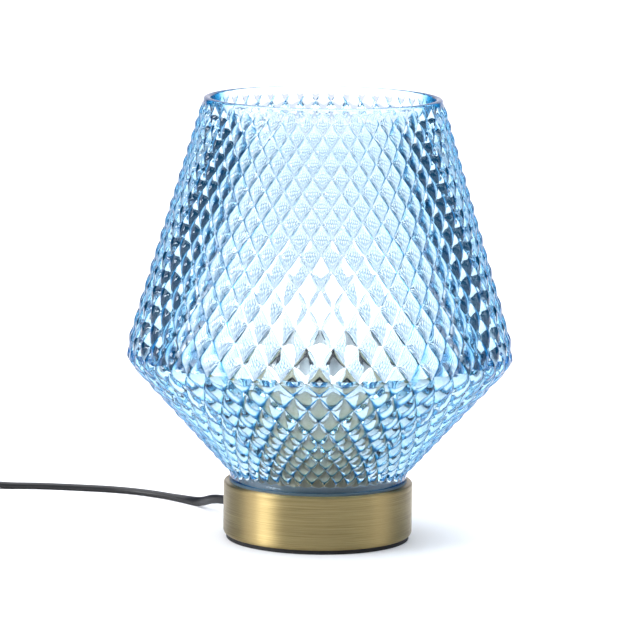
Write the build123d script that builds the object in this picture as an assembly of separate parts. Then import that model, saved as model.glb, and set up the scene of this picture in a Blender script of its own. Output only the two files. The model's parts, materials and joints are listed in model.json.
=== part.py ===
"""Table lamp: a pressed-glass shade standing on a low brass cylinder, with an E27 bulb inside.

Millimetres. +Z is up, -Y is the front, and the origin is the centre of the bottom face.
Every separate piece of the lamp is one node, written to parts/NODE.step.
"""

import math
import os

from build123d import *

# ---------------------------------------------------------------- driving dimensions
LAMP_H = 230.0  # foot pad to rim
SHADE_R = 100.0  # at the crease, the widest place
RIM_R = 61.6
CREASE_Z = 95.5
GLASS_WALL = 4.2
RIM_WALL = 3.7

BASE_R = 49.1
BASE_TOP = 30.0
HOUSING_WALL = 1.0
BASE_BOTTOM_ROUND = 2.5
BASE_TOP_ROUND = 1.2
FOOT_R = 47.5
FOOT_T = 2.0

PLATE_R = 46.0
PLATE_T = 1.5
BALLAST_R = 45.0
BALLAST_Z = 14.5
BOSS_R = 4.5
BOSS_CIRCLE_R = 34.0
BOSS_TURNS = (60.0, 180.0, 300.0)  # from the cord's exit
SCREW_R = 1.5
SCREW_GAP = 0.05

NIPPLE_R = 5.0  # M10 x 1 tube
NIPPLE_BORE_R = 3.3
NIPPLE_Z = (9.5, 41.0)
NUT_FLATS = 14.0
NUT_T = 4.0
WASHER_R = 8.5
WASHER_T = 0.8
HOLE_GAP = 0.3

CUP_R = 23.0
CUP_WALL = 1.0
CUP_FLOOR = 1.2
CUP_TOP = 84.0

HOLDER_R = 20.6
HOLDER_WALL = 2.0
HOLDER_SPLIT_Z = 47.0
HOLDER_RIM_R = 22.2
HOLDER_RIM_Z = (84.2, 86.7)
HOLDER_MOUTH_R = 14.8
CORE_R = 18.2
CORE_Z = (48.0, 58.5)
THREAD_R = 13.05  # E27 cap, outside its thread
THREAD_GAP = 0.35
SCREW_SHELL_T = 0.4
SCREW_SHELL_TOP = 80.0

TIP_Z = 60.0
TIP_R = 4.5
TIP_T = 0.8
CAP_Z = (63.0, 84.0)
CAP_WALL = 0.35
COLLAR_TOP = 100.0
COLLAR_R = (13.7, 14.2)
COLLAR_WALL = 1.5
GLOBE_R = 22.5
GLOBE_Z = 118.5
GLOBE_WALL = 1.2

SEAT_T = 1.0
SEAT_GAP = 0.1
SHADE_FOOT_R = (41.5, 45.8)
SHADE_FOOT_TOP = 35.0

EXIT_TURN = 132.0  # the cord leaves the base at the rear left
EXIT_Z = 8.5
CORD_W = 5.0  # flat two-core cord, width
CORD_T = 3.4  # and thickness, which the plain tubes have all round
RELIEF_L = 20.0
RELIEF_TIP_R = CORD_W / 2 + 0.3
BUSH_NECK_R = 3.8
BUSH_HOLE_GAP = 0.1
GRIP_R = 24.0  # where the cord grip starts, from the axis
GRIP_L = 10.0
GRIP_W = 22.0
GRIP_SPLIT_Z = EXIT_Z - CORD_T / 2 - 0.05
GRIP_TOP_Z = 13.0
GRIP_SCREWS_AT = (-8.0, 8.0)  # each side of the cord
WIRE_R = 0.9
WIRE_OFF = 1.15
WIRE_LOW_Z = 5.4

# The free cord's points, from the strain relief to the switch, to the coil, and to the plug.
SWITCH_L, SWITCH_W, SWITCH_H = 62.0, 27.0, 17.0
SWITCH_X, SWITCH_Y = -231.0, 122.0
SWITCH_CORD_Z = 6.0
SWITCH_WALL = 1.6
SWITCH_END_R = 11.0
SWITCH_SCREWS_AT = ((-18.5, -8.2), (18.5, 8.2))
COIL_X, COIL_Y = -257.3, 63.0
COIL_R = (19.5, 37.7)  # centrelines of the innermost and outermost turns
COIL_LAYERS = 2
LAYER_STEP = 3.5
PLUG_X, PLUG_Y = -283.0, -43.0  # where the plug's body starts
PLUG_CORD_Z = 6.85

LEAD_ROUTE = [
    (-46.24, 51.35, 8.5),
    (-54.94, 61.01, 8.5),
    (-62.8, 78.0, 2.4),
    (-74.5, 93.0, 1.7),
    (-89.5, 106.0, 1.7),
    (-108.0, 116.0, 1.7),
    (-132.0, 121.0, 1.7),
    (-154.0, 124.2, 1.7),
    (-170.0, 123.6, 1.7),
    (-180.0, 122.6, 2.8),
    (-190.0, 122.1, 5.5),
    (-200.0, 122.0, 6.0),
]
LOOP_ROUTE = [
    (-262.0, 122.0, 6.0),
    (-272.5, 121.4, 5.2),
    (-284.0, 115.5, 2.2),
    (-292.0, 104.0, 1.7),
    (-295.6, 89.0, 1.7),
    (-295.0, 73.0, 1.7),
]
TAIL_ROUTE = [
    (-295.0, 57.0, 5.2),
    (-294.8, 41.0, 4.8),
    (-292.0, 22.0, 2.1),
    (-286.0, 4.0, 2.6),
    (-283.0, -10.0, 6.85),
    (-283.0, -23.0, 6.85),
]

ROCKER_PIVOT_Z = 8.0
ROCKER_R = 13.0
ROCKER_W = 9.4
ROCKER_GAP = 0.3
ROCKER_TILT = 10.0
TRUNNION_R = 1.2
TRUNNION_GAP = 0.08

PLUG_L, PLUG_W, PLUG_H = 34.0, 35.3, 13.7
PIN_R = 2.0
PIN_L = 19.0
PIN_SLEEVE_L = 10.0
PIN_SPACING = 19.0
PIN_CORE_R = 1.5
PLUG_NECK_R = 4.3

ON_BASE = (Align.CENTER, Align.CENTER, Align.MIN)


# ---------------------------------------------------------------- small helpers
def disc(radius, z_low, z_high):
    return Pos(0, 0, z_low) * Cylinder(radius, z_high - z_low, align=ON_BASE)


def ring(r_in, r_out, z_low, z_high):
    return disc(r_out, z_low, z_high) - disc(r_in, z_low, z_high)


def block(x0, x1, y0, y1, z0, z1):
    return Pos((x0 + x1) / 2, (y0 + y1) / 2, z0) * Box(x1 - x0, y1 - y0, z1 - z0, align=ON_BASE)


def turned(points):
    """The solid that a closed outline of (radius, height) points makes about Z."""
    return revolve(Plane.XZ * make_face(Polyline(*points, close=True)), Axis.Z)


def polar(radius, turn, z=0.0):
    return (
        radius * math.cos(math.radians(turn)),
        radius * math.sin(math.radians(turn)),
        z,
    )


def along_exit(shape, radius, z=EXIT_Z):
    """A shape made along +X from its own origin, laid on the cord's way out of the base."""
    return Pos(*polar(radius, EXIT_TURN, z)) * Rot(0, 0, EXIT_TURN) * shape


def rod_x(radius, x0, x1):
    return Pos((x0 + x1) / 2, 0, 0) * Rot(0, 90, 0) * Cylinder(radius, x1 - x0)


def rod_y(radius, y0, y1):
    return Pos(0, (y0 + y1) / 2, 0) * Rot(90, 0, 0) * Cylinder(radius, y1 - y0)


def tube(points, radii, radius):
    """A round tube along straight runs joined by tangent arcs."""
    path = FilletPolyline(*points, radius=radii)
    shape = sweep(Plane(origin=path @ 0, z_dir=path % 0) * Circle(radius), path=path)
    expected = math.pi * radius**2 * path.length
    print("  length", round(path.length, 1), "volume ratio", round(shape.volume / expected, 4))
    return shape


def arc_radii(points):
    """Each arc as large as its two runs allow."""
    found = []
    for before, here, after in zip(points, points[1:], points[2:]):
        first = Vector(*here) - Vector(*before)
        second = Vector(*after) - Vector(*here)
        half_turn = math.radians(first.get_angle(second)) / 2
        found.append(0.45 * min(first.length, second.length) / math.tan(half_turn))
    return found


def cord_tube(name, points):
    radii = arc_radii(points)
    print(name, "arc radii", [round(r, 1) for r in radii])
    return tube(points, radii, CORD_T / 2)


def write(node, shape):
    shape.label = node
    export_step(shape, f"parts/{node}.step")


def group(solids):
    return Compound(children=list(solids))


# ---------------------------------------------------------------- base
def foot_pad():
    pad = disc(FOOT_R, 0, FOOT_T)
    return fillet(pad.edges().group_by(Axis.Z)[0], 0.4)


def base_housing():
    cup = disc(BASE_R, FOOT_T, BASE_TOP)
    cup = fillet(cup.edges().group_by(Axis.Z)[-1], BASE_TOP_ROUND)
    cup = fillet(cup.edges().group_by(Axis.Z)[0], BASE_BOTTOM_ROUND)
    hollow = disc(BASE_R - HOUSING_WALL, FOOT_T + HOUSING_WALL, BASE_TOP - HOUSING_WALL)
    hollow = fillet(hollow.edges().group_by(Axis.Z)[0], BASE_BOTTOM_ROUND - HOUSING_WALL)
    cup -= hollow
    cup -= disc(PLATE_R + 0.1, 0, FOOT_T + HOUSING_WALL + 0.5)
    cup -= disc(NIPPLE_R + HOLE_GAP, 0, BASE_TOP + 1)
    return cup - along_exit(rod_x(BUSH_NECK_R + BUSH_HOLE_GAP, -6, 6), BASE_R)


def screw_places():
    return [polar(BOSS_CIRCLE_R, EXIT_TURN + turn) for turn in BOSS_TURNS]


def base_bottom_plate():
    plate = disc(PLATE_R, FOOT_T, FOOT_T + PLATE_T)
    for x, y, _ in screw_places():
        plate -= Pos(x, y, 0) * countersink(SCREW_GAP)
    return plate


def countersink(gap):
    """A flat-headed screw's head and shank, its head flush with the plate's underside."""
    head = [
        (0, FOOT_T),
        (2.9 + gap, FOOT_T),
        (SCREW_R + gap, FOOT_T + PLATE_T),
        (SCREW_R + gap, FOOT_T + 9.0 + gap),
        (0, FOOT_T + 9.0 + gap),
    ]
    return turned(head)


def bottom_plate_screws():
    return group(Pos(x, y, 0) * countersink(0) for x, y, _ in screw_places())


def ballast_weight():
    iron = disc(BALLAST_R, BALLAST_Z, BASE_TOP - HOUSING_WALL)
    iron = fillet(iron.edges().group_by(Axis.Z)[-1], 1.5)
    for x, y, _ in screw_places():
        iron += Pos(x, y, 0) * disc(BOSS_R, FOOT_T + PLATE_T, BALLAST_Z)
    for x, y, _ in screw_places():
        iron -= Pos(x, y, 0) * countersink(SCREW_GAP)
    return iron - disc(NIPPLE_R + HOLE_GAP, 0, BASE_TOP)


def shade_seat_ring():
    flange = ring(SHADE_FOOT_R[0] - 0.6, SHADE_FOOT_R[1] + 0.3, BASE_TOP, BASE_TOP + SEAT_T)
    upstand = ring(SHADE_FOOT_R[0] - 2.0, SHADE_FOOT_R[0] - 0.4, BASE_TOP, BASE_TOP + 4.0)
    return flange + upstand


# ---------------------------------------------------------------- stem, nut and lampholder
def threaded_nipple():
    return ring(NIPPLE_BORE_R, NIPPLE_R, *NIPPLE_Z)


def nipple_nut():
    top = BALLAST_Z - WASHER_T
    hexagon = extrude(RegularPolygon(NUT_FLATS / 2, 6, major_radius=False), NUT_T)
    return Pos(0, 0, top - NUT_T) * hexagon - disc(NIPPLE_R + SCREW_GAP, 0, top + 1)


def lock_washer():
    washer = ring(NIPPLE_R + SCREW_GAP, WASHER_R, BALLAST_Z - WASHER_T, BALLAST_Z)
    teeth = [Rot(0, 0, k * 30) * block(7.4, 9.0, -0.7, 0.7, 0, BALLAST_Z + 1) for k in range(12)]
    for tooth_gap in teeth:
        washer -= tooth_gap
    return washer


def holder_cup():
    cup = disc(CUP_R, BASE_TOP, CUP_TOP)
    cup -= disc(CUP_R - CUP_WALL, BASE_TOP + CUP_FLOOR, CUP_TOP + 1)
    cup = fillet(cup.edges().group_by(Axis.Z)[-1], 0.35)
    return cup - disc(NIPPLE_R + HOLE_GAP, 0, BASE_TOP + CUP_FLOOR + 1)


def lampholder_cap():
    low = BASE_TOP + CUP_FLOOR
    dome = turned([
        (0, low),
        (13.0, low),
        (HOLDER_R, low + 9.0),
        (HOLDER_R, HOLDER_SPLIT_Z),
        (0, HOLDER_SPLIT_Z),
    ])
    hollow = turned([
        (0, low + HOLDER_WALL),
        (12.0, low + HOLDER_WALL),
        (HOLDER_R - HOLDER_WALL, low + 10.0),
        (HOLDER_R - HOLDER_WALL, HOLDER_SPLIT_Z + 1),
        (0, HOLDER_SPLIT_Z + 1),
    ])
    hub = disc(8.0, low, NIPPLE_Z[1])
    return dome - hollow + hub - disc(NIPPLE_R + SCREW_GAP, 0, HOLDER_SPLIT_Z)


def lampholder_body():
    shell = ring(HOLDER_R - HOLDER_WALL, HOLDER_R, HOLDER_SPLIT_Z, HOLDER_RIM_Z[0])
    return shell + ring(HOLDER_MOUTH_R, HOLDER_RIM_R, *HOLDER_RIM_Z)


def lampholder_core():
    core = disc(CORE_R, *CORE_Z)
    wall = ring(THREAD_R + THREAD_GAP + SCREW_SHELL_T + 1.2, CORE_R, CORE_Z[1], CORE_Z[1] + 12.0)
    return core + wall - block(-3.2, 3.2, -9.0, 9.0, CORE_Z[1] - 0.6, CORE_Z[1] + 0.1)


def screw_shell():
    inner = THREAD_R + THREAD_GAP
    return ring(inner, inner + SCREW_SHELL_T, CORE_Z[1], SCREW_SHELL_TOP)


def centre_contact():
    """A sprung brass tongue under the bulb's tip."""
    low = CORE_Z[1] - 0.6
    tongue = Plane.XZ * make_face(
        Polyline(
            (-8.8, low),
            (-8.8, low + 0.5),
            (-5.0, low + 0.5),
            (-1.5, TIP_Z - 0.1),
            (3.5, TIP_Z - 0.1),
            (5.0, low + 0.9),
            (4.6, low + 0.7),
            (3.2, TIP_Z - 0.6),
            (-1.3, TIP_Z - 0.6),
            (-4.7, low),
            close=True,
        )
    )
    return Rot(0, 0, 90) * extrude(tongue, 3.0, both=True)


def side_contact():
    """The brass strip from the neutral terminal to the screw shell."""
    outer = THREAD_R + THREAD_GAP + SCREW_SHELL_T
    return block(outer, outer + 0.5, -3.0, 3.0, CORE_Z[1], CORE_Z[1] + 10.0)


def terminal_blocks():
    blocks = []
    for side in (-1, 1):
        body = block(6.2, 13.2, -3.0, 3.0, CORE_Z[0] - 5.9, CORE_Z[0])
        body -= Pos(0, 0, CORE_Z[0] - 3.0) * rod_x(1.15, 5.0, 10.0)
        body -= Pos(11.4, 0, CORE_Z[0] - 7.0) * Cylinder(1.35, 4.6, align=ON_BASE)
        blocks.append(Rot(0, 0, 90 - 90 * side) * body)
    return group(blocks)


def terminal_screws():
    screws = []
    for side in (-1, 1):
        shank = Pos(11.4 * side, 0, CORE_Z[0] - 6.0) * Cylinder(1.3, 3.5, align=ON_BASE)
        head = Pos(11.4 * side, 0, CORE_Z[0] - 7.4) * Cylinder(2.2, 1.45, align=ON_BASE)
        slot = block(11.4 * side - 3, 11.4 * side + 3, -0.3, 0.3, 0, CORE_Z[0] - 6.8)
        screws.append(head + shank - slot)
    return group(screws)


# ---------------------------------------------------------------- wiring inside the base
def cord_bush():
    """The tapered strain relief, held by a groove in the housing's wall."""
    outline = [
        (0, -3.4),
        (4.6, -3.4),
        (4.6, -1.4),
        (BUSH_NECK_R, -1.4),
        (BUSH_NECK_R, 0.3),
        (5.0, 0.3),
        (5.0, 1.9),
        (4.2, 2.4),
        (RELIEF_TIP_R, RELIEF_L),
        (0, RELIEF_L),
    ]
    bush = Rot(0, 90, 0) * turned(outline)
    return along_exit(bush - rod_x(CORD_T / 2, -5, RELIEF_L + 1), BASE_R)


def cord_inner():
    return along_exit(rod_x(CORD_T / 2, GRIP_R - 4.0, BASE_R + RELIEF_L), 0)


def grip_screw(gap):
    shank = Pos(0, 0, 4.6) * Cylinder(SCREW_R + gap, GRIP_TOP_Z - 4.5, align=ON_BASE)
    return shank + Pos(0, 0, GRIP_TOP_Z) * Cylinder(2.6, 1.0, align=ON_BASE)


def grip_base():
    foot = block(GRIP_R, GRIP_R + GRIP_L, -GRIP_W / 2, GRIP_W / 2, FOOT_T + PLATE_T, GRIP_SPLIT_Z)
    for y in GRIP_SCREWS_AT:
        foot -= Pos(GRIP_R + GRIP_L / 2, y, 0) * grip_screw(SCREW_GAP)
    return Rot(0, 0, EXIT_TURN) * foot


def grip_bridge():
    bridge = block(GRIP_R, GRIP_R + GRIP_L, -GRIP_W / 2, GRIP_W / 2, GRIP_SPLIT_Z, GRIP_TOP_Z)
    bridge -= block(0, 60, -CORD_W / 2, CORD_W / 2, 0, EXIT_Z + CORD_T / 2)
    for y in GRIP_SCREWS_AT:
        bridge -= Pos(GRIP_R + GRIP_L / 2, y, 0) * grip_screw(SCREW_GAP)
    return Rot(0, 0, EXIT_TURN) * bridge


def grip_screws():
    middle = GRIP_R + GRIP_L / 2
    return Rot(0, 0, EXIT_TURN) * group(Pos(middle, y, 0) * grip_screw(0) for y in GRIP_SCREWS_AT)


def inner_wire(side):
    """One core of the cord, from the grip up through the stem to its terminal."""
    across = Vector(*polar(WIRE_OFF, EXIT_TURN + 90 * side))
    start = Vector(*polar(GRIP_R - 4.6, EXIT_TURN, EXIT_Z)) + across
    low = Vector(*polar(8.0, EXIT_TURN, WIRE_LOW_Z)) + across
    x = -WIRE_OFF * side
    top = CORE_Z[0] - 3.0
    points = [start, low, (x, 0, WIRE_LOW_Z), (x, 0, top), (-6.2 * side, 0, top)]
    return tube(points, [4.0, 2.6, 2.4], WIRE_R)


# ---------------------------------------------------------------- glass shade
def shade_outline():
    """Closed (radius, height) outline of the smooth wall that carries the pressed diamonds."""
    foot_in, foot_out = SHADE_FOOT_R
    foot_z = BASE_TOP + SEAT_T + SEAT_GAP
    lower = math.atan2(SHADE_R - foot_out, CREASE_Z - SHADE_FOOT_TOP)
    upper = math.atan2(SHADE_R - RIM_R, LAMP_H - CREASE_Z)
    thick_low = GLASS_WALL / math.cos(lower)
    thick_high = GLASS_WALL / math.cos(upper)
    slope = math.tan(lower)
    inner_crease_z = CREASE_Z + (thick_low - thick_high) / (slope + math.tan(upper))
    inner_crease_r = SHADE_R - thick_high - math.tan(upper) * (inner_crease_z - CREASE_Z)
    inner_foot_z = SHADE_FOOT_TOP + (foot_in + thick_low - foot_out) / slope
    return [
        (foot_in, foot_z),
        (foot_out, foot_z),
        (foot_out + 0.3, SHADE_FOOT_TOP),
        (SHADE_R, CREASE_Z),
        (RIM_R, LAMP_H),
        (RIM_R - RIM_WALL, LAMP_H),
        (inner_crease_r, inner_crease_z),
        (foot_in, inner_foot_z),
    ]


def shade():
    glass = turned(shade_outline())
    return fillet(glass.edges().group_by(Axis.Z)[-1], 1.2)


# ---------------------------------------------------------------- bulb
def bulb_contact():
    return disc(TIP_R, TIP_Z, TIP_Z + TIP_T)


def bulb_insulator():
    return turned([
        (0, TIP_Z + TIP_T),
        (6.5, TIP_Z + TIP_T),
        (THREAD_R - CAP_WALL - 0.4, CAP_Z[0]),
        (THREAD_R - CAP_WALL - 0.4, CAP_Z[0] + 1.5),
        (0, CAP_Z[0] + 1.5),
    ])


def bulb_cap():
    cap = ring(THREAD_R - CAP_WALL, THREAD_R, *CAP_Z)
    return cap + ring(THREAD_R - CAP_WALL - 0.4, THREAD_R - CAP_WALL, CAP_Z[0], CAP_Z[0] + 1.5)


def bulb_collar():
    low, high = CAP_Z[1], COLLAR_TOP
    return turned([
        (COLLAR_R[0] - COLLAR_WALL, low),
        (COLLAR_R[0], low),
        (COLLAR_R[1], high),
        (COLLAR_R[1] - COLLAR_WALL, high),
    ])


def bulb_globe():
    globe = Pos(0, 0, GLOBE_Z) * (Sphere(GLOBE_R) - Sphere(GLOBE_R - GLOBE_WALL))
    return globe - disc(GLOBE_R, GLOBE_Z - GLOBE_R - 1, COLLAR_TOP)


def bulb_led_board():
    return disc(COLLAR_R[1] - COLLAR_WALL - 0.6, COLLAR_TOP - 3.2, COLLAR_TOP - 1.6)


def bulb_driver():
    board = block(-9.0, 9.0, -0.8, 0.8, CAP_Z[0] + 3.0, COLLAR_TOP - 3.6)
    capacitor = Pos(-3.5, 4.6, CAP_Z[0] + 6.0) * Cylinder(3.6, 11.0, align=ON_BASE)
    coil = Pos(4.0, 3.6, CAP_Z[0] + 20.0) * Cylinder(2.7, 7.0, align=ON_BASE)
    return board + capacitor + coil


# ---------------------------------------------------------------- free cord
def cord_coil():
    coil = ring(
        COIL_R[0] - CORD_W / 2,
        COIL_R[1] + CORD_W / 2,
        0,
        CORD_T + LAYER_STEP * (COIL_LAYERS - 1),
    )
    return Pos(COIL_X, COIL_Y, 0) * fillet(coil.edges(), 1.2)


# ---------------------------------------------------------------- switch on the cord
def at_switch(shape):
    return Pos(SWITCH_X, SWITCH_Y, 0) * shape


def switch_hull():
    hull = extrude(RectangleRounded(SWITCH_L, SWITCH_W, SWITCH_END_R), SWITCH_H)
    hull = fillet(hull.edges().group_by(Axis.Z)[-1], 3.0)
    return fillet(hull.edges().group_by(Axis.Z)[0], 1.5)


def switch_hollow():
    length, width = SWITCH_L - 2 * SWITCH_WALL, SWITCH_W - 2 * SWITCH_WALL
    outline = RectangleRounded(length, width, SWITCH_END_R - SWITCH_WALL)
    return Pos(0, 0, SWITCH_WALL) * extrude(outline, SWITCH_H - 2 * SWITCH_WALL)


def switch_screw(gap):
    shank = Pos(0, 0, 1.8) * Cylinder(1.2 + gap, 9.0 + gap, align=ON_BASE)
    return shank + Pos(0, 0, 0.6) * Cylinder(2.3 + gap, 1.2, align=ON_BASE)


def switch_lower_shell():
    shell = switch_hull() - switch_hollow() - block(-40, 40, -20, 20, SWITCH_CORD_Z, 20)
    for x, y in SWITCH_SCREWS_AT:
        shell += Pos(x, y, 0) * disc(3.0, 1.0, SWITCH_CORD_Z)
        shell -= Pos(x, y, 0) * switch_screw(SCREW_GAP)
        shell -= Pos(x, y, 0) * disc(2.4, -1, 0.7)
    return at_switch(shell - Pos(0, 0, SWITCH_CORD_Z) * rod_x(CORD_T / 2 + 0.05, -40, 40))


def switch_upper_shell():
    shell = switch_hull() - switch_hollow() - block(-40, 40, -20, 20, -1, SWITCH_CORD_Z)
    for x, y in SWITCH_SCREWS_AT:
        shell += Pos(x, y, 0) * disc(3.0, SWITCH_CORD_Z, SWITCH_H - 1.5)
        shell -= Pos(x, y, 0) * switch_screw(SCREW_GAP)
    half = ROCKER_W / 2 + ROCKER_GAP
    pocket = Pos(0, 0, ROCKER_PIVOT_Z) * rod_y(ROCKER_R + ROCKER_GAP, -half, half)
    shell -= pocket & block(-20, 20, -20, 20, SWITCH_CORD_Z + 3, 30)
    for side in (-1, 1):
        ear = block(-2.5, 2.5, half + 0.1, half + 1.7, ROCKER_PIVOT_Z - 1.9, SWITCH_H - 1.5)
        ear -= Pos(0, 0, ROCKER_PIVOT_Z) * rod_y(TRUNNION_R + TRUNNION_GAP, 0, 20)
        shell += Rot(0, 0, 90 - 90 * side) * ear
    return at_switch(shell - Pos(0, 0, SWITCH_CORD_Z) * rod_x(CORD_T / 2 + 0.05, -40, 40))


def switch_rocker():
    """The rocker in its on position, tilted about its trunnions."""
    half = ROCKER_W / 2
    round_body = Pos(0, 0, ROCKER_PIVOT_Z) * rod_y(ROCKER_R, -half, half)
    top = SWITCH_H + 1.6
    drop = 20 * math.tan(math.radians(ROCKER_TILT))
    roof = Plane.XZ * make_face(
        Polyline(
            (-20, 11.5), (20, 11.5), (20, top + drop), (0, top), (-20, top + drop), close=True
        )
    )
    rocker = round_body & extrude(roof, half + 1, both=True)
    rocker += block(-1.9, 1.9, -half, half, ROCKER_PIVOT_Z - 1.6, 12.0)
    rocker += Pos(0, 0, ROCKER_PIVOT_Z) * rod_y(TRUNNION_R, -half - 1.7, half + 1.7)
    tilted = Pos(0, 0, ROCKER_PIVOT_Z) * Rot(0, -ROCKER_TILT, 0) * Pos(0, 0, -ROCKER_PIVOT_Z) * rocker
    return at_switch(tilted)


def switch_contacts():
    strips = [
        block(-22.0, -6.0, -1.6, 1.6, 1.7, 2.3) + block(-22.0, -21.4, -1.6, 1.6, 1.7, 4.0),
        block(6.0, 22.0, -1.6, 1.6, 1.7, 2.3) + block(21.4, 22.0, -1.6, 1.6, 1.7, 4.0),
        block(-7.5, 7.5, 2.4, 5.0, 1.7, 2.3),
    ]
    return at_switch(group(strips))


def switch_screws():
    return at_switch(group(Pos(x, y, 0) * switch_screw(0) for x, y in SWITCH_SCREWS_AT))


# ---------------------------------------------------------------- plug on the cord's end
def at_plug(shape):
    """A shape made along +X from its own origin, laid along -Y from where the plug's body starts."""
    return Pos(PLUG_X, PLUG_Y, PLUG_CORD_Z) * Rot(0, 0, -90) * shape


def plug_body():
    """A flat two-pin plug's body, narrow at the cord and wide at the pins."""
    outline = make_face(
        Polyline(
            (0, -7.0),
            (9.0, -PLUG_W / 2 + 4.0),
            (13.0, -PLUG_W / 2),
            (PLUG_L, -PLUG_W / 2),
            (PLUG_L, PLUG_W / 2),
            (13.0, PLUG_W / 2),
            (9.0, PLUG_W / 2 - 4.0),
            (0, 7.0),
            close=True,
        )
    )
    body = extrude(outline, PLUG_H / 2, both=True)
    body = chamfer(body.edges().filter_by(Axis.X), 3.4)
    for y in (-PIN_SPACING / 2, PIN_SPACING / 2):
        body -= Pos(0, y, 0) * rod_x(PIN_CORE_R, PLUG_L - 8, PLUG_L + 1)
    return at_plug(body)


def plug_pins():
    tip = PLUG_L + PIN_L
    pins = []
    for y in (-PIN_SPACING / 2, PIN_SPACING / 2):
        end = rod_x(PIN_R, PLUG_L + PIN_SLEEVE_L, tip)
        end = fillet(end.edges().group_by(Axis.X)[-1], 1.2)
        pins.append(Pos(0, y, 0) * (end + rod_x(PIN_CORE_R, PLUG_L - 8, PLUG_L + PIN_SLEEVE_L)))
    return at_plug(group(pins))


def plug_pin_sleeves():
    sleeves = []
    for y in (-PIN_SPACING / 2, PIN_SPACING / 2):
        sleeve = rod_x(PIN_R, PLUG_L, PLUG_L + PIN_SLEEVE_L)
        sleeves.append(Pos(0, y, 0) * (sleeve - rod_x(PIN_CORE_R, 0, PLUG_L + PIN_SLEEVE_L)))
    return at_plug(group(sleeves))


def plug_relief():
    outline = [(0, 0), (RELIEF_TIP_R, 0), (PLUG_NECK_R, RELIEF_L), (0, RELIEF_L)]
    cone = Rot(0, 90, 0) * turned(outline)
    return at_plug(Pos(-RELIEF_L, 0, 0) * cone)


# ---------------------------------------------------------------- every node
NODES = {
    "foot_pad": foot_pad,
    "base_bottom_plate": base_bottom_plate,
    "bottom_plate_screws": bottom_plate_screws,
    "ballast_weight": ballast_weight,
    "base_housing": base_housing,
    "shade_seat_ring": shade_seat_ring,
    "threaded_nipple": threaded_nipple,
    "nipple_nut": nipple_nut,
    "lock_washer": lock_washer,
    "holder_cup": holder_cup,
    "lampholder_cap": lampholder_cap,
    "lampholder_body": lampholder_body,
    "lampholder_core": lampholder_core,
    "screw_shell": screw_shell,
    "centre_contact": centre_contact,
    "side_contact": side_contact,
    "terminal_blocks": terminal_blocks,
    "terminal_screws": terminal_screws,
    "cord_bush": cord_bush,
    "cord_inner": cord_inner,
    "cord_grip_base": grip_base,
    "cord_grip_bridge": grip_bridge,
    "cord_grip_screws": grip_screws,
    "wire_live": lambda: inner_wire(1),
    "wire_neutral": lambda: inner_wire(-1),
    "shade": shade,
    "bulb_contact": bulb_contact,
    "bulb_insulator": bulb_insulator,
    "bulb_cap": bulb_cap,
    "bulb_collar": bulb_collar,
    "bulb_globe": bulb_globe,
    "bulb_led_board": bulb_led_board,
    "bulb_driver": bulb_driver,
    "cord_lead": lambda: cord_tube("cord_lead", LEAD_ROUTE),
    "cord_loop": lambda: cord_tube("cord_loop", LOOP_ROUTE),
    "cord_coil": cord_coil,
    "cord_tail": lambda: cord_tube("cord_tail", TAIL_ROUTE),
    "switch_lower_shell": switch_lower_shell,
    "switch_upper_shell": switch_upper_shell,
    "switch_rocker": switch_rocker,
    "switch_contacts": switch_contacts,
    "switch_screws": switch_screws,
    "plug_body": plug_body,
    "plug_pins": plug_pins,
    "plug_pin_sleeves": plug_pin_sleeves,
    "plug_relief": plug_relief,
}

os.makedirs("parts", exist_ok=True)
for node, make in NODES.items():
    write(node, make())
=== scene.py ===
"""Looks of the pressed-glass table lamp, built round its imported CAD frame. Metres, +Z up, front at -Y."""

import json
import math

import bmesh
import bpy
from mathutils import Matrix, Vector


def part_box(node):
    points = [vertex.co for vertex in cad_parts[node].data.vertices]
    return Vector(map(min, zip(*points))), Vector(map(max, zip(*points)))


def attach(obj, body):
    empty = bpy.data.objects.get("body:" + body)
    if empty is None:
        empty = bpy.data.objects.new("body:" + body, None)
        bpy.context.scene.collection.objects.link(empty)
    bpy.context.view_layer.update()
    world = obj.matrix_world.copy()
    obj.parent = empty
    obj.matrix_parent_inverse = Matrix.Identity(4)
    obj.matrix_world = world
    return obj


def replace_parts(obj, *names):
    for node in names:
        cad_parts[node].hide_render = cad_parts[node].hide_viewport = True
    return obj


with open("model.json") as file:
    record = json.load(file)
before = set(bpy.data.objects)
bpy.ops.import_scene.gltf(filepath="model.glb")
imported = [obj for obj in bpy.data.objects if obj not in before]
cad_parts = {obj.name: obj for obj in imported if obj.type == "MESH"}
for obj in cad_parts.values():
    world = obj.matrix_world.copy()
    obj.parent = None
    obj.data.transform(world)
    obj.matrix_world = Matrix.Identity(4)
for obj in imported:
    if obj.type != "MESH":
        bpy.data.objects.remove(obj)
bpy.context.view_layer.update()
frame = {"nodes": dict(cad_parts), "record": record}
nodes = frame["nodes"]
MM = 0.001


# ---------------------------------------------------------------- places, from the frame
SHADE_LOW, SHADE_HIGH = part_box("shade")
CAP_LOW, CAP_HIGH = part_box("bulb_cap")
PLUG_LOW, PLUG_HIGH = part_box("plug_body")
PLUG_MIDDLE = (PLUG_LOW + PLUG_HIGH) / 2
COIL_LOW, COIL_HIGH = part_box("cord_coil")
COIL_MIDDLE = (COIL_LOW + COIL_HIGH) / 2
BASE_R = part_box("base_housing")[1].x
LAMP_MIDDLE = Vector((0, 0, 115 * MM))

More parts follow.
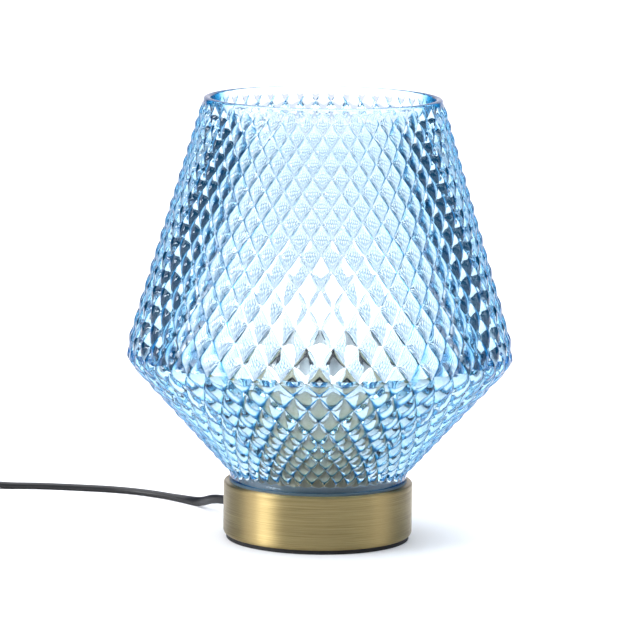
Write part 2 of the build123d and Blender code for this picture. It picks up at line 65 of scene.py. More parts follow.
# ---------------------------------------------------------------- driving dimensions
# Glass shade: two cones of pressed diamonds that meet at the crease.
SHADE_R = SHADE_HIGH.x
RIM_Z = SHADE_HIGH.z
FOOT_Z = SHADE_LOW.z
RIM_R = 61.6 * MM
CREASE_R = SHADE_R + 1.5 * MM  # where the two cones would meet if the crease were sharp
CREASE_Z = 95.5 * MM
CREASE_SOFT = 1.9 * MM  # what the crease's rounding takes off that
UPPER_ROUND = 1.3  # rows of diamonds over which it is rounded, above and below
LOWER_ROUND = 0.6
CREASE_TURN = 1.6  # rows over which the diamonds' own direction turns from one cone to the other
LATTICE_Z = 35.0 * MM  # where the diamonds end above the smooth foot ring
LATTICE_R = 46.1 * MM
FOOT_FADE = 2.0 * MM  # height over which the diamonds rise out of the foot ring
RIM_BAND = 2.5 * MM  # height of the smooth rim
RIM_FADE = 4.0 * MM  # height over which the diamonds flatten out below it
FOOT_R = (41.5 * MM, 45.8 * MM)
GLASS_WALL = 4.2 * MM
RIM_WALL = 3.7 * MM
COLUMNS = 46
UPPER_ROWS = 17
LOWER_ROWS = 10
TOP_ROUND = 1.2 * MM
SHOULDER = 1.2 * MM  # height of a diamond's flat-topped shoulder above its grooves
SHOULDER_POWER = 6
DOME = 1.8 * MM  # height of the dome that its shoulder carries
SUNK = 0.8  # the share of a diamond's height that lies under the smooth wall
ACROSS = (0.0, 0.08, 0.22, 0.5, 0.78, 0.92)  # where a diamond's skin bends, across one pair of sides
CELL = len(ACROSS)

# Cord: a flat two-core lead, laid as the part's tubes are.
CORD_W = 5.0 * MM
CORD_T = 3.4 * MM
COIL_R = (19.5 * MM, 37.7 * MM)
COIL_TURNS = 8
LAYER_TURNS = 3.5
LAYER_Z = (1.7 * MM, 5.2 * MM)
POINTS_PER_TURN = 16
DRAWN_IN = 0.981  # the cord's line runs at this share of its control points' distance from the middle
EXIT_TURN = math.radians(132)
UPRIGHT_UNTIL = 24 * MM  # the cord leaves the base on edge, and lies flat further on
FLAT_FROM = 74 * MM

# Strain reliefs: tapered sleeves with ribs, which fit closely round the cord at their tips.
RELIEF_TIP_R = CORD_W / 2 + 0.3 * MM
RIBS = 6
RIB_DEPTH = 0.55 * MM
TIP_ROUND = 0.4 * MM

# Coil tie: a soft strap.
TIE_T = 0.9 * MM
TIE_SIDE_ROOM = 0.4 * MM  # between the turns and the strap
TIE_TOP_ROOM = 0.6 * MM
TIE_TURN = math.radians(-60)

# Plug: shares of its length, its width and its thickness.
PLUG_SHOULDER = 0.42  # where its neck has widened to the full body
PLUG_GRIP_END = 0.82
PLUG_NECK_WIDTH = 0.34
PLUG_NECK_THICKNESS = 0.74
PLUG_NECK_LENGTH = 0.3
PLUG_END_SIZE = 0.985  # of either end face, beside the body next to it
PLUG_GRIPS = 9
GRIP_DEPTH = 0.45 * MM

# Bulb cap: a right-handed thread between its tapered end and its plain collar.
THREAD_PITCH = 3.63 * MM
THREAD_DEPTH = 0.75 * MM
THREAD_POWER = 0.8  # below 1, so that its crests are wider than its grooves
THREAD_RUN = 2.0 * MM  # height over which the thread comes up at either end
CAP_WALL = 0.35 * MM
CAP_END_H = 0.8 * MM
CAP_COLLAR_H = 3.5 * MM
CAP_END_STEP = 0.75 * MM  # how far the two plain parts stand inside the thread's crests
CAP_COLLAR_STEP = 0.1 * MM

# The cord's route in millimetres: to the switch and into it, on to the coil, and from the coil to the plug.
LEAD_ROUTE = [
    (-46.24, 51.35, 8.5),
    (-54.94, 61.01, 8.5),
    (-62.8, 78.0, 2.4),
    (-74.5, 93.0, 1.7),
    (-89.5, 106.0, 1.7),
    (-108.0, 116.0, 1.7),
    (-132.0, 121.0, 1.7),
    (-154.0, 124.2, 1.7),
    (-170.0, 123.6, 1.7),
    (-180.0, 122.6, 2.8),
    (-190.0, 122.1, 5.5),
    (-200.0, 122.0, 6.0),
]
LOOP_ROUTE = [
    (-262.0, 122.0, 6.0),
    (-272.5, 121.4, 5.2),
    (-284.0, 115.5, 2.2),
    (-292.0, 104.0, 1.7),
    (-295.6, 89.0, 1.7),
    (-295.0, 73.0, 1.7),
]
TAIL_ROUTE = [
    (-295.0, 57.0, 5.2),
    (-294.8, 41.0, 4.8),
    (-292.0, 22.0, 2.1),
    (-286.0, 4.0, 2.6),
    (-283.0, -10.0, 6.85),
    (-283.0, -23.0, 6.85),
]


# ---------------------------------------------------------------- camera
CAMERA_PLACE = (0, -2.3, 0.4571)
CAMERA_DIP = 0.148  # radians below the level
CAMERA_ROLL = math.radians(0.8)
CAMERA_LENS = 252.84  # millimetres, for a sensor 36 millimetres wide
CAMERA_SHIFT = -0.0005


def make_camera():
    data = bpy.data.cameras.new("camera")
    data.sensor_width = 36
    data.lens = CAMERA_LENS
    data.shift_x = CAMERA_SHIFT
    data.clip_end = 100
    camera = bpy.data.objects.new("camera", data)
    bpy.context.scene.collection.objects.link(camera)
    tilt = Matrix.Rotation(math.radians(90) - CAMERA_DIP, 4, "X")
    roll = Matrix.Rotation(CAMERA_ROLL, 4, "Z")
    camera.matrix_world = Matrix.Translation(CAMERA_PLACE) @ tilt @ roll
    bpy.context.scene.camera = camera


make_camera()


# ---------------------------------------------------------------- node materials
PATCH_SIZE = 12  # how much larger the patches of a mottled colour are than its grain


def new_material(name):
    material = bpy.data.materials.new(name)
    material.use_nodes = True
    return material, material.node_tree, material.node_tree.nodes["Principled BSDF"]


def set_inputs(node, **values):
    for key, value in values.items():
        node.inputs[key.replace("_", " ")].default_value = value


def add(tree, kind, **values):
    node = tree.nodes.new("ShaderNode" + kind)
    set_inputs(node, **values)
    return node


def object_noise(tree, scale, stretch=(1, 1, 1), detail=4.0, roughness=0.55):
    """Noise in the object's own space, in waves per metre, stretched along an axis."""
    place = tree.nodes.new("ShaderNodeTexCoord")
    mapping = add(tree, "Mapping", Scale=stretch)
    noise = add(tree, "TexNoise", Scale=scale, Detail=detail, Roughness=roughness)
    tree.links.new(place.outputs["Object"], mapping.inputs["Vector"])
    tree.links.new(mapping.outputs["Vector"], noise.inputs["Vector"])
    return noise.outputs["Fac"]


def ramp(tree, source, *stops):
    """A colour ramp of (position, colour) stops."""
    node = tree.nodes.new("ShaderNodeValToRGB")
    elements = node.color_ramp.elements
    while len(elements) < len(stops):
        elements.new(0.5)
    for element, (position, color) in zip(elements, stops):
        element.position = position
        element.color = (*color, 1)
    tree.links.new(source, node.inputs["Fac"])
    return node.outputs["Color"]


def to_range(tree, source, low, high):
    """Noise, which stays mostly between 0.3 and 0.7, spread over this range."""
    node = add(tree, "MapRange", From_Min=0.3, From_Max=0.7, To_Min=low, To_Max=high)
    tree.links.new(source, node.inputs["Value"])
    return node.outputs["Result"]


def add_bump(tree, shader, source, strength, distance):
    bump = add(tree, "Bump", Strength=strength, Distance=distance)
    tree.links.new(source, bump.inputs["Height"])
    tree.links.new(bump.outputs["Normal"], shader.inputs["Normal"])


def grained(name, dark, light, rough, grain, depth, metal=0.0, **more):
    """A moulded, cast or drawn surface: mottled colour, uneven gloss and a fine grain.

    rough is the range of roughness, grain its waves per metre and depth the height of its bumps in metres.
    """
    material, tree, shader = new_material(name)
    set_inputs(shader, Metallic=metal, **more)
    patches = object_noise(tree, grain / PATCH_SIZE)
    tree.links.new(ramp(tree, patches, (0.35, dark), (0.65, light)), shader.inputs["Base Color"])
    fine = object_noise(tree, grain)
    tree.links.new(to_range(tree, fine, *rough), shader.inputs["Roughness"])
    add_bump(tree, shader, fine, strength=0.35, distance=depth)
    return material


def brushed_brass(name, dark, light):
    """Lacquered antique brass, brushed round the axis."""
    material, tree, shader = new_material(name)
    set_inputs(shader, Metallic=1.0, Anisotropic=0.96, Anisotropic_Rotation=0.25)
    set_inputs(shader, Coat_Weight=0.15, Coat_Roughness=0.25)
    tangent = tree.nodes.new("ShaderNodeTangent")
    tangent.direction_type = "RADIAL"
    tangent.axis = "Z"
    tree.links.new(tangent.outputs["Tangent"], shader.inputs["Tangent"])
    lines = object_noise(tree, 30, stretch=(1, 1, 160), detail=6.0, roughness=0.7)
    tree.links.new(ramp(tree, lines, (0.32, dark), (0.68, light)), shader.inputs["Base Color"])
    tree.links.new(to_range(tree, lines, low=0.58, high=0.44), shader.inputs["Roughness"])
    add_bump(tree, shader, lines, strength=0.25, distance=8e-5)
    return material


def blue_glass():
    """Clear blue glass, which looks deeper where it is seen edge-on: its base colour is painted a deep navy
    shade there.
    """
    material, tree, shader = new_material("blue_glass")
    set_inputs(shader, Roughness=0.0, IOR=1.35, Transmission_Weight=1.0)
    facing = add(tree, "LayerWeight", Blend=0.5)
    # Painted shade: the base colour is near white face-on and turns deep navy where the glass is seen
    # edge-on, standing in for the dark crescents that bent light gives.
    painted_edge_shade = ramp(
        tree,
        facing.outputs["Facing"],
        (0.46, (0.93, 0.915, 0.92)),
        (0.55, (0.20, 0.62, 0.84)),
        (0.62, (0.002, 0.10, 0.34)),
        (0.74, (0.0001, 0.009, 0.05)),
    )
    tree.links.new(painted_edge_shade, shader.inputs["Base Color"])
    volume = add(tree, "VolumeAbsorption", Color=(0.0, 0.60, 0.84, 1), Density=31.0)
    tree.links.new(volume.outputs["Volume"], tree.nodes["Material Output"].inputs["Volume"])
    return material


def opal():
    """The bulb's opal globe, lit from inside."""
    material, tree, shader = new_material("opal")
    set_inputs(shader, Base_Color=(0.94, 0.93, 0.9, 1), Roughness=0.3)
    set_inputs(shader, Emission_Color=(1.0, 0.97, 0.92, 1), Emission_Strength=3.5)
    add_bump(tree, shader, object_noise(tree, 900), strength=0.1, distance=2e-5)
    return material


MATERIALS = {
    "glass_blue": blue_glass(),
    "brass_antique": brushed_brass("brass_antique", (0.24, 0.18, 0.075), (0.47, 0.37, 0.165)),
    "opal": opal(),
}

# Each look: dark and light colour, range of roughness, grain and depth, as grained takes them.
METALS = {
    "brass_bright": ((0.43, 0.39, 0.27), (0.52, 0.475, 0.34), (0.3, 0.42), 900, 1e-5),
    "nickel": ((0.52, 0.51, 0.49), (0.66, 0.65, 0.62), (0.18, 0.32), 900, 1e-5),
    "steel_zinc": ((0.42, 0.43, 0.44), (0.6, 0.61, 0.6), (0.28, 0.42), 700, 2e-5),
    "aluminium": ((0.6, 0.6, 0.61), (0.72, 0.72, 0.72), (0.25, 0.4), 900, 2e-5),
}
for name, look in METALS.items():
    MATERIALS[name] = grained(name, *look, metal=1.0)

MOULDED = {
    "plastic_black_gloss": ((0.011, 0.011, 0.012), (0.018, 0.018, 0.019), (0.2, 0.3), 1500, 1e-5),
    "plastic_white": ((0.72, 0.72, 0.7), (0.8, 0.8, 0.78), (0.35, 0.45), 1200, 2e-5),
    "ceramic": ((0.7, 0.68, 0.63), (0.8, 0.78, 0.74), (0.5, 0.65), 1200, 4e-5),
    "board_green": ((0.015, 0.12, 0.045), (0.025, 0.17, 0.06), (0.3, 0.4), 900, 1e-5),
    "wire_brown": ((0.1, 0.035, 0.012), (0.14, 0.05, 0.02), (0.35, 0.45), 900, 1e-5),
    "wire_blue": ((0.02, 0.09, 0.35), (0.03, 0.12, 0.42), (0.35, 0.45), 900, 1e-5),
}
for name, look in MOULDED.items():
    MATERIALS[name] = grained(name, *look)

SOFT_BLACK = {
    "rubber_black": ((0.008, 0.008, 0.008), (0.014, 0.014, 0.014), (0.6, 0.8), 1500, 5e-5),
    "plastic_black": ((0.008, 0.008, 0.009), (0.013, 0.013, 0.014), (0.42, 0.55), 2200, 4e-5),
    "cord_black": ((0.007, 0.007, 0.008), (0.012, 0.012, 0.013), (0.28, 0.4), 1300, 2e-5),
}
for name, look in SOFT_BLACK.items():
    MATERIALS[name] = grained(name, *look, Specular_IOR_Level=0.3)

CAST_IRON = ((0.03, 0.03, 0.032), (0.07, 0.07, 0.07), (0.6, 0.8), 500, 2e-4)
MATERIALS["cast_iron"] = grained("cast_iron", *CAST_IRON, metal=0.6)
# The seat ring gets a dark smoky blue-grey: painted shade for the dark line under the glass foot.
SEAT_RING_PAINTED_SHADE = ((0.16, 0.26, 0.34), (0.2, 0.31, 0.4), (0.3, 0.45), 800, 1e-5)
MATERIALS["silicone_clear"] = grained("silicone_clear", *SEAT_RING_PAINTED_SHADE, Transmission_Weight=0.6, IOR=1.41)


def dress(piece, slot):
    piece.data.materials.clear()
    piece.data.materials.append(MATERIALS[slot])


NODE_SLOTS = {part["node"]: part["material_slot"] for part in frame["record"]["subparts"]}
NODE_SLOTS["holder_cup"] = "brass_bright"  # paler than the base's brass: a lighter copy of it, painted light for the bulb's glow on the cup
for node, piece in nodes.items():
    dress(piece, NODE_SLOTS[node])


# ---------------------------------------------------------------- mesh helpers
def new_piece(name, vertices, faces, slot, body="root", sharp=40):
    """A closed mesh that rides a body. Its edges look sharp from this many degrees on."""
    mesh = bpy.data.meshes.new(name)
    mesh.from_pydata(vertices, [], faces)
    build = bmesh.new()
    build.from_mesh(mesh)
    bmesh.ops.recalc_face_normals(build, faces=build.faces)
    if build.calc_volume(signed=True) < 0:
        bmesh.ops.reverse_faces(build, faces=build.faces)
    build.to_mesh(mesh)
    build.free()
    mesh.shade_smooth()
    mesh.set_sharp_from_angle(angle=math.radians(sharp))
    piece = bpy.data.objects.new(name, mesh)
    bpy.context.scene.collection.objects.link(piece)
    dress(piece, slot)
    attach(piece, body)
    return piece


def squarish(wave, power):
    """A sine or cosine that makes an outline squarer than a circle. A smaller power squares it more."""
    return math.copysign(abs(wave) ** power, wave)


def ring(number, count, start=0):
    """Indices of the ring of this number, where rings of count vertices follow each other from start."""
    return range(start + number * count, start + (number + 1) * count)


def bridge(faces, first, second):
    """Quads between two closed rings, which are equally long rows of vertex indices."""
    for k in range(len(first)):
        after = (k + 1) % len(first)
        faces.append((first[k], first[after], second[after], second[k]))


def cap_ends(faces, first, last):
    """Flat ends on the first and last ring of a tube."""
    faces.append(tuple(first))
    faces.append(tuple(reversed(last)))


def lathe(name, outline, slot, place):
    """A solid turned about Z from (radius, height) points, its first and last radius 0."""
    segments = 40
    vertices = [place @ Vector((0, 0, outline[0][1]))]
    faces = []
    for radius, height in outline[1:-1]:
        for k in range(segments):
            angle = math.tau * k / segments
            vertices.append(place @ Vector((radius * math.cos(angle), radius * math.sin(angle), height)))
    rings = len(outline) - 2
    for row in range(rings - 1):
        bridge(faces, ring(row, segments, 1), ring(row + 1, segments, 1))
    vertices.append(place @ Vector((0, 0, outline[-1][1])))
    last = 1 + (rings - 1) * segments
    for k in range(segments):
        after = (k + 1) % segments
        faces.append((0, 1 + after, 1 + k))
        faces.append((len(vertices) - 1, last + k, last + after))
    return new_piece(name, vertices, faces, slot)


def along(place, heading):
    """The placing of a piece made along +Z so that it starts at place and points along heading."""
    return Matrix.Translation(place) @ Vector((0, 0, 1)).rotation_difference(heading).to_matrix().to_4x4()


# ---------------------------------------------------------------- cord
def nurbs_line(points):
    """Points along the smooth line that these control points steer."""
    data = bpy.data.curves.new("cord_route", "CURVE")
    data.dimensions = "3D"
    spline = data.splines.new("NURBS")
    spline.points.add(len(points) - 1)
    for point, place in zip(spline.points, points):
        point.co = (*place, 1)
    spline.order_u = 3
    spline.use_endpoint_u = True
    spline.resolution_u = 4
    curve = bpy.data.objects.new("cord_route", data)
    bpy.context.scene.collection.objects.link(curve)
    bpy.context.view_layer.update()
    mesh = bpy.data.meshes.new_from_object(curve)
    line = [vertex.co.copy() for vertex in mesh.vertices]
    bpy.data.objects.remove(curve)
    bpy.data.meshes.remove(mesh)
    bpy.data.curves.remove(data)
    return line


def coil_points():
    """Turns winding inwards on the floor, one turn climbing, then turns winding outwards on top."""
    inner, outer = COIL_R
    low, high = LAYER_Z
    points = []
    for step in range(COIL_TURNS * POINTS_PER_TURN + 1):
        turn = step / POINTS_PER_TURN
        in_lower = min(turn / LAYER_TURNS, 1)
        in_upper = max((turn - COIL_TURNS + LAYER_TURNS) / LAYER_TURNS, 0)
        climb = min(max(turn - LAYER_TURNS, 0), 1)
        radius = outer + (inner - outer) * (in_lower - in_upper)
        angle = math.pi + math.tau * turn
        across = Vector((radius * math.cos(angle), radius * math.sin(angle), 0))
        points.append(Vector((COIL_MIDDLE.x, COIL_MIDDLE.y, low + (high - low) * climb)) + across)
    return points


def cord_section():
    """Outline of the flat cord, width along x and thickness along y."""
    count = 16
    outline = []
    for k in range(count):
        angle = math.tau * k / count
        x = CORD_W / 2 * squarish(math.cos(angle), power=0.85)
        y = CORD_T / 2 * squarish(math.sin(angle), power=0.7)
        outline.append((x, y))
    return outline


def twist_at(travelled, height):
    """The section's turn from lying flat: on edge at the exit, and never into the floor."""
    fall = min(max((travelled - UPRIGHT_UNTIL) / (FLAT_FROM - UPRIGHT_UNTIL), 0), 1)
    wanted = math.radians(90) * (1 - fall * fall * (3 - 2 * fall))
    flat, edge = CORD_T / 2, CORD_W / 2
    room = (height**2 - flat**2) / (edge**2 - flat**2)
    return min(wanted, math.asin(math.sqrt(min(max(room, 0), 1))))


def make_cord():
    lead = [Vector(p) * MM for p in LEAD_ROUTE]
    loop = [Vector(p) * MM for p in LOOP_ROUTE]
    tail = [Vector(p) * MM for p in TAIL_ROUTE]
    line = nurbs_line(lead + loop + coil_points() + tail)
    section = cord_section()
    count = len(section)
    vertices, faces = [], []
    travelled = 0
    for k, here in enumerate(line):
        heading = (line[min(k + 1, len(line) - 1)] - line[max(k - 1, 0)]).normalized()
        side = heading.cross(Vector((0, 0, 1))).normalized()
        up = side.cross(heading)
        travelled += (here - line[k - 1]).length if k else 0
        turn = twist_at(travelled, here.z)
        across = side * math.cos(turn) + up * math.sin(turn)
        through = up * math.cos(turn) - side * math.sin(turn)
        vertices += [here + across * x + through * y for x, y in section]
        if k:
            bridge(faces, ring(k - 1, count), ring(k, count))
    cap_ends(faces, ring(0, count), ring(len(line) - 1, count))
    cord = new_piece("flat_cord", vertices, faces, "cord_black", sharp=60)
    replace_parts(cord, "cord_lead", "cord_loop", "cord_coil", "cord_tail")
    return cord, line


def relief_outline(length, wide):
    """A tapered sleeve with ribs round it, from its wide end at 0. Towards its tip the ribs get lower."""
    outline = [(0, 0), (wide, 0)]
    for k in range(RIBS):
        for share, depth in ((0.15, 0), (0.3, RIB_DEPTH), (0.7, RIB_DEPTH), (0.85, 0)):
            t = (k + share) / RIBS
            outline.append((wide + (RELIEF_TIP_R - wide) * t - depth * (1 - 0.4 * t), length * t))
    return outline + [(RELIEF_TIP_R, length - TIP_ROUND), (RELIEF_TIP_R - TIP_ROUND, length), (0, length)]


def make_base_relief():
    """The tapered bush in the base's wall, its flanges inside and out."""
    way = Vector((math.cos(EXIT_TURN), math.sin(EXIT_TURN), 0))
    wall = way * BASE_R + Vector((0, 0, LEAD_ROUTE[0][2] * MM))
    inner_flange = [(0, -3.4), (4.6, -3.4), (4.6, -1.4)]
    neck = [(3.8, -1.4), (3.8, 0.3)]
    outer_flange = [(5.0, 0.4), (5.0, 1.9), (4.7, 2.3)]
    outline = [(r * MM, z * MM) for r, z in inner_flange + neck + outer_flange]
    sleeve = relief_outline(17.6 * MM, 4.2 * MM)
    outline += [(r, z + 2.4 * MM) for r, z in sleeve[1:]]
    relief = lathe("base_relief", outline, "rubber_black", along(wall, way))
    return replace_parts(relief, "cord_bush")


def make_plug_relief():
    """The sleeve behind the plug, which starts a little inside its body."""
    start = Vector((PLUG_MIDDLE.x, PLUG_HIGH.y - 0.5 * MM, PLUG_MIDDLE.z))
    outline = relief_outline(20 * MM, 4.3 * MM)
    relief = lathe("plug_sleeve", outline, "rubber_black", along(start, Vector((0, 1, 0))))
    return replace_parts(relief, "plug_relief")


def make_plug():
    """The moulded body of a flat two-pin plug, its waist ribbed for the fingers."""
    wide, length, thick = PLUG_HIGH - PLUG_LOW
    stations = 60
    count = 48
    vertices, faces = [], []
    for k in range(stations + 1):
        t = k / stations
        spread = min(t / PLUG_SHOULDER, 1)
        swell = spread**1.3 * (1.9 - 0.9 * spread)  # steep behind the neck, and flatter at the shoulder
        half_w = wide / 2 * (PLUG_NECK_WIDTH + (1 - PLUG_NECK_WIDTH) * swell)
        swell = min(t / PLUG_NECK_LENGTH, 1) ** 0.5
        half_t = thick / 2 * (PLUG_NECK_THICKNESS + (1 - PLUG_NECK_THICKNESS) * swell)
        rounding = PLUG_END_SIZE if k in (0, stations) else 1
        grip = 0
        if PLUG_SHOULDER < t < PLUG_GRIP_END:
            along_grip = (t - PLUG_SHOULDER) / (PLUG_GRIP_END - PLUG_SHOULDER)
            grip = GRIP_DEPTH * (0.5 - 0.5 * math.cos(math.tau * PLUG_GRIPS * along_grip))
        y = PLUG_HIGH.y - length * t
        for j in range(count):
            angle = math.tau * j / count
            x = (half_w * rounding - grip) * squarish(math.cos(angle), power=0.42)
            z = (half_t * rounding - grip) * squarish(math.sin(angle), power=0.6)
            vertices.append((PLUG_MIDDLE.x + min(max(x, -wide / 2), wide / 2), y, PLUG_MIDDLE.z + z))
        if k:
            bridge(faces, ring(k - 1, count), ring(k, count))
    cap_ends(faces, ring(0, count), ring(stations, count))
    plug = new_piece("plug_shell", vertices, faces, "plastic_black", sharp=50)
    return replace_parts(plug, "plug_body")


def make_tie():
    """A soft strap round the coil's turns. On the floor it has no room, so it is thick only above them."""
    outward = Vector((math.cos(TIE_TURN), math.sin(TIE_TURN), 0))
    forward = Vector((-math.sin(TIE_TURN), math.cos(TIE_TURN), 0))
    inner = COIL_R[0] * DRAWN_IN - CORD_W / 2
    outer = COIL_R[1] * DRAWN_IN + CORD_W / 2
    middle_r = (inner + outer) / 2
    half_r = (outer - inner) / 2 + TIE_SIDE_ROOM
    half_z = (COIL_HIGH.z + TIE_TOP_ROOM) / 2
    across = (-5.0, -4.8, 0.0, 4.8, 5.0)
    rim = (0.5, 0.0, 0.0, 0.0, 0.5)
    count = 48
    vertices, faces = [], []
    rings = [(x * MM, inset * TIE_T) for x, inset in zip(across, rim)]
    rings += [(x * MM, TIE_T * (1 - inset)) for x, inset in zip(across[::-1], rim)]
    for x, depth in rings:
        for k in range(count):
            turn = math.tau * k / count
            upward = math.sin(turn)
            r = (half_r + TIE_T - depth) * squarish(math.cos(turn), power=0.25)
            z = (half_z + (TIE_T - depth) * (upward > 0)) * squarish(upward, power=0.35)
            place = Vector((COIL_MIDDLE.x, COIL_MIDDLE.y, half_z + z))
            vertices.append(place + outward * (middle_r + r) + forward * x)
    for row in range(len(rings)):
        bridge(faces, ring(row, count), ring((row + 1) % len(rings), count))
    return new_piece("coil_tie", vertices, faces, "rubber_black", sharp=50)


base_relief = make_base_relief()
plug_relief = make_plug_relief()
plug = make_plug()
tie = make_tie()
cord, cord_line = make_cord()


# ---------------------------------------------------------------- glass shade
LOWER_TILT = math.atan2(SHADE_R - LATTICE_R, CREASE_Z - LATTICE_Z)
UPPER_TILT = math.atan2(SHADE_R - RIM_R, RIM_Z - CREASE_Z)


def wall_point(row):
    """Radius and height of the smooth outer wall, row 0 at the crease and one row per half diamond."""
    if row >= 0:
        end_r, end_z, rows, rounded = RIM_R, RIM_Z - TOP_ROUND, UPPER_ROWS, UPPER_ROUND
    else:
        end_r, end_z, rows, rounded = LATTICE_R, LATTICE_Z, LOWER_ROWS, LOWER_ROUND
    radius = CREASE_R * (end_r / CREASE_R) ** (abs(row) / rows)
    height = CREASE_Z + (CREASE_R - radius) / (CREASE_R - end_r) * (end_z - CREASE_Z)
    return radius - CREASE_SOFT * max(1 - abs(row) / rounded, 0) ** 2, height


def diamond_height(s, t):
    """Height of a diamond above its grooves, s and t from 0 to 1 across its two pairs of sides."""
    a, b = abs(2 * s - 1), abs(2 * t - 1)
    shoulder = (1 - a**SHOULDER_POWER) * (1 - b**SHOULDER_POWER)
    return SHOULDER * shoulder + DOME * (1 - a * a) * (1 - b * b)


def turned_point(radius, columns, height):
    """A point this many columns of diamonds round the axis, from the front."""
    angle = math.tau * columns / COLUMNS - math.pi / 2
    return Vector((radius * math.cos(angle), radius * math.sin(angle), height))


def raised_point(row, lift):
    """Radius and height of a point that stands this far off the smooth outer wall."""
    radius, z = wall_point(row)
    upper = min(max(row / CREASE_TURN + 0.5, 0), 1)
    out = math.cos(LOWER_TILT) * (1 - upper) + math.cos(UPPER_TILT) * upper
    up = math.sin(UPPER_TILT) * upper - math.sin(LOWER_TILT) * (1 - upper)
    return radius + lift * out, z + lift * up


def lattice_point(a, b, s, t):
    """A point of the outer skin, which flattens out towards its top and bottom edges.

    a and b count diamonds along the two slanting rows. s and t are the point's place within its diamond.
    """
    columns, row = (a + b) / 2 - 0.5, a - b
    radius, z = wall_point(row)
    edge = min((RIM_Z - RIM_BAND - z) / RIM_FADE, (z - LATTICE_Z) / FOOT_FADE + 0.5, 1)
    lift = (diamond_height(s, t) - SUNK * (SHOULDER + DOME)) * math.sqrt(radius / SHADE_R) * max(edge, 0)
    radius, z = raised_point(row, lift)
    return turned_point(radius, columns, z)


def add_lattice(vertices, faces):
    """The outer skin's diamonds. Gives the indices along its top edge and its bottom edge."""
    known = {}

    def corner(i, k, j, m):
        """The index of a lattice point, shared with the diamonds beside it."""
        if k == CELL:
            i, k = i + 1, 0
        if m == CELL:
            j, m = j + 1, 0
        laps = (i + j) // (2 * COLUMNS)
        key = (i - laps * COLUMNS, k, j - laps * COLUMNS, m)
        if key not in known:
            known[key] = len(vertices)
            s, t = ACROSS[k], ACROSS[m]
            vertices.append(lattice_point(i + s, j + t, s, t))
        return known[key]

    rim, foot = [], []
    for level in range(-LOWER_ROWS, UPPER_ROWS + 1):
        for column in range(COLUMNS):
            j = column - (level + level % 2) // 2
            i = j + level
            for k in range(CELL):
                for m in range(CELL):
                    # A quad with k equal to m lies across the edge there, and only its inner half is made.
                    above_rim = level == UPPER_ROWS and k >= m
                    below_foot = level == -LOWER_ROWS and k <= m
                    if k != m and (above_rim or below_foot):
                        continue
                    low, high = corner(i, k, j, m), corner(i, k + 1, j, m + 1)
                    if above_rim:
                        faces.append((low, high, corner(i, k, j, m + 1)))
                    elif below_foot:
                        faces.append((low, corner(i, k + 1, j, m), high))
                    elif k + m == CELL - 1:
                        right, left = corner(i, k + 1, j, m), corner(i, k, j, m + 1)
                        faces += [(low, right, left), (right, high, left)]
                    elif k == m:
                        faces += [(low, corner(i, k + 1, j, m), high), (low, high, corner(i, k, j, m + 1))]
                    else:
                        faces.append((low, corner(i, k + 1, j, m), high, corner(i, k, j, m + 1)))
                if level == UPPER_ROWS:
                    rim.append(corner(i, k, j, k))
                if level == -LOWER_ROWS:
                    foot.append(corner(i, k, j, k))
    return rim, foot


def make_shade():
    """One closed glass body: diamonds outside and a smooth wall inside."""
    vertices, faces = [], []
    rim, foot = add_lattice(vertices, faces)
    foot_in, foot_out = FOOT_R
    # The smooth foot ring from outside to inside, then the inner wall upwards, then over the rim.
    profile = [
        (foot_out + 0.2 * MM, LATTICE_Z - 1.5 * MM),
        (foot_out, FOOT_Z + 0.9 * MM),
        (foot_out - 0.3 * MM, FOOT_Z + 0.25 * MM),
        (foot_out - 0.9 * MM, FOOT_Z),
        (foot_in + 0.9 * MM, FOOT_Z),
        (foot_in + 0.25 * MM, FOOT_Z + 0.3 * MM),
        (foot_in, FOOT_Z + 1.0 * MM),
        (foot_in, LATTICE_Z + 1.0 * MM),
    ]
    inside = -GLASS_WALL - SUNK * (SHOULDER + DOME)
    profile += [raised_point(row, inside) for row in range(2 - LOWER_ROWS, UPPER_ROWS - 1)]
    half = RIM_WALL / 2
    for degrees in (190, 170, 150, 130, 105, 75, 50, 30, 10):
        turn = math.radians(degrees)
        radius = RIM_R - half + half * math.cos(turn)
        profile.append((radius, RIM_Z - TOP_ROUND + TOP_ROUND * math.sin(turn)))

    around = COLUMNS * CELL
    before = foot
    for radius, z in profile:
        level = ring(0, around, len(vertices))
        vertices += [turned_point(radius, k / CELL - 0.5, z) for k in range(around)]
        bridge(faces, before, level)
        before = level
    half_cell = CELL // 2  # the rim's points start half a diamond before the rings' do
    bridge(faces, before, rim[half_cell:] + rim[:half_cell])
    shade = new_piece("glass_shade", vertices, faces, "glass_blue", "shade", sharp=50)
    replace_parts(shade, "shade")


make_shade()


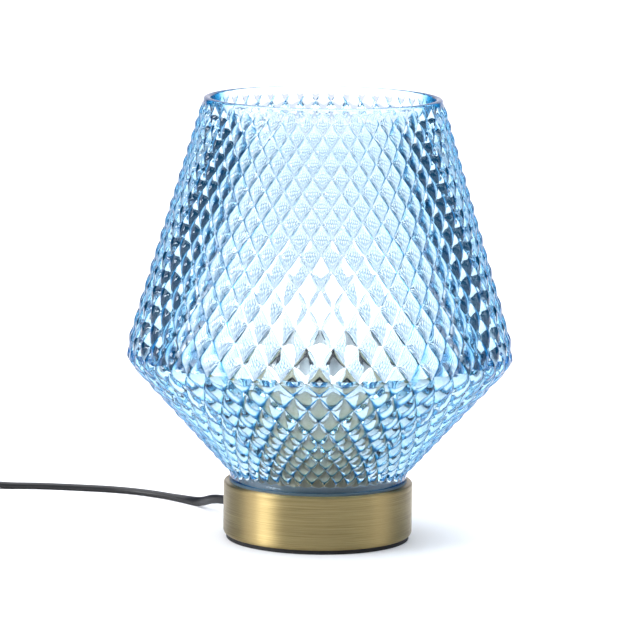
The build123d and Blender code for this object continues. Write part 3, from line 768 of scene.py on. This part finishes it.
# ---------------------------------------------------------------- bulb
def make_bulb_cap():
    """The rolled screw cap, a closed skin with its thread inside and out."""
    low, high = CAP_LOW.z, CAP_HIGH.z
    radius = (CAP_HIGH.x - CAP_LOW.x) / 2
    around = 96
    rows = 84
    outline = []
    for row in range(rows + 1):
        z = low + (high - low) * row / rows
        above_end = max((z - low - CAP_END_H) / THREAD_RUN, 0)
        below_collar = max((high - CAP_COLLAR_H - z) / THREAD_RUN, 0)
        outline.append((z, min(above_end, below_collar, 1)))
    vertices, faces = [], []
    for inset, levels in ((0, outline), (CAP_WALL, outline[::-1])):
        for z, thread in levels:
            plain = radius - (CAP_END_STEP if z < low + CAP_END_H + THREAD_RUN else CAP_COLLAR_STEP)
            for k in range(around):
                turn = k / around
                roll = 0.5 + 0.5 * math.cos(math.tau * ((z - low) / THREAD_PITCH - turn))
                r = plain * (1 - thread) + (radius - THREAD_DEPTH * (1 - roll**THREAD_POWER)) * thread - inset
                angle = math.tau * turn
                vertices.append((r * math.cos(angle), r * math.sin(angle), z))
    rings = len(vertices) // around
    for row in range(rings):
        bridge(faces, ring(row, around), ring((row + 1) % rings, around))
    cap = new_piece("threaded_cap", vertices, faces, "nickel", "bulb", sharp=60)
    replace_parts(cap, "bulb_cap")


make_bulb_cap()


# ---------------------------------------------------------------- floor and light
FLOOR_REACH = 7  # metres from the lamp
PAPER_DARK = (0.9, 0.9, 0.9)
PAPER_LIGHT = (0.93, 0.93, 0.93)


def make_floor():
    mesh = bpy.data.meshes.new("floor")
    build = bmesh.new()
    bmesh.ops.create_grid(build, x_segments=1, y_segments=1, size=FLOOR_REACH)
    build.to_mesh(mesh)
    build.free()
    material, tree, shader = new_material("floor_paper")
    set_inputs(shader, Roughness=0.9)
    paper = ramp(tree, object_noise(tree, 3), (0.3, PAPER_DARK), (0.7, PAPER_LIGHT))
    tree.links.new(paper, shader.inputs["Base Color"])
    mesh.materials.append(material)
    floor = bpy.data.objects.new("floor", mesh)
    bpy.context.scene.collection.objects.link(floor)


def make_light(name, place, size, power):
    """A softbox that looks at the lamp. size is (width, height)."""
    data = bpy.data.lights.new(name, "AREA")
    data.shape = "RECTANGLE"
    data.size, data.size_y = size
    data.energy = power
    light = bpy.data.objects.new(name, data)
    light.matrix_world = along(place, LAMP_MIDDLE - Vector(place)) @ Matrix.Rotation(math.pi, 4, "X")
    bpy.context.scene.collection.objects.link(light)


# Brightness of the studio's walls by direction, in degrees from straight behind the lamp, positive to the
# right. White screens stand behind and beside the lamp and a dimmer wall in front of it, with deep blue gaps
# between them.
STUDIO_WALLS = (
    (-180, 0.4), (-158, 0.4), (-150, 0.1), (-120, 0.1), (-112, 3.2), (-84, 3.2), (-74, 0.02),
    (-32, 0.02), (-24, 1.03), (24, 1.03), (32, 0.02),
    (74, 0.02), (82, 1.5), (100, 1.5), (108, 0.1), (150, 0.1), (158, 0.4), (180, 0.4),
)


def wall_color(level):
    """White where the wall is bright, and deep blue where it is dark."""
    return (level - 0.02, level * 0.95 + 0.045, level + 0.12)


def make_world():
    world = bpy.data.worlds.new("studio")
    world.use_nodes = True
    tree = world.node_tree
    place = tree.nodes.new("ShaderNodeTexCoord")
    split = tree.nodes.new("ShaderNodeSeparateXYZ")
    turn = tree.nodes.new("ShaderNodeMath")
    turn.operation = "ARCTAN2"
    share = add(tree, "MapRange", From_Min=-math.pi, From_Max=math.pi)
    tree.links.new(place.outputs["Generated"], split.inputs["Vector"])
    tree.links.new(split.outputs["X"], turn.inputs[0])
    tree.links.new(split.outputs["Y"], turn.inputs[1])
    tree.links.new(turn.outputs["Value"], share.inputs["Value"])
    stops = [((degrees + 180) / 360, wall_color(level)) for degrees, level in STUDIO_WALLS]
    tree.links.new(ramp(tree, share.outputs["Result"], *stops), tree.nodes["Background"].inputs["Color"])
    bpy.context.scene.world = world


make_floor()
make_world()
make_light("overhead", place=(0, 0, 4.0), size=(8.0, 8.0), power=480)
make_light("left_softbox", place=(-1.5, -0.7, 0.4), size=(0.4, 0.7), power=16)
make_light("right_softbox", place=(1.6, -0.6, 0.8), size=(0.4, 1.2), power=3)

scene = bpy.context.scene
scene.view_settings.view_transform = "Standard"
GLASS_BOUNCES = 24  # light crosses many walls of glass
scene.cycles.max_bounces = GLASS_BOUNCES
scene.cycles.transmission_bounces = GLASS_BOUNCES
scene.cycles.glossy_bounces = 8
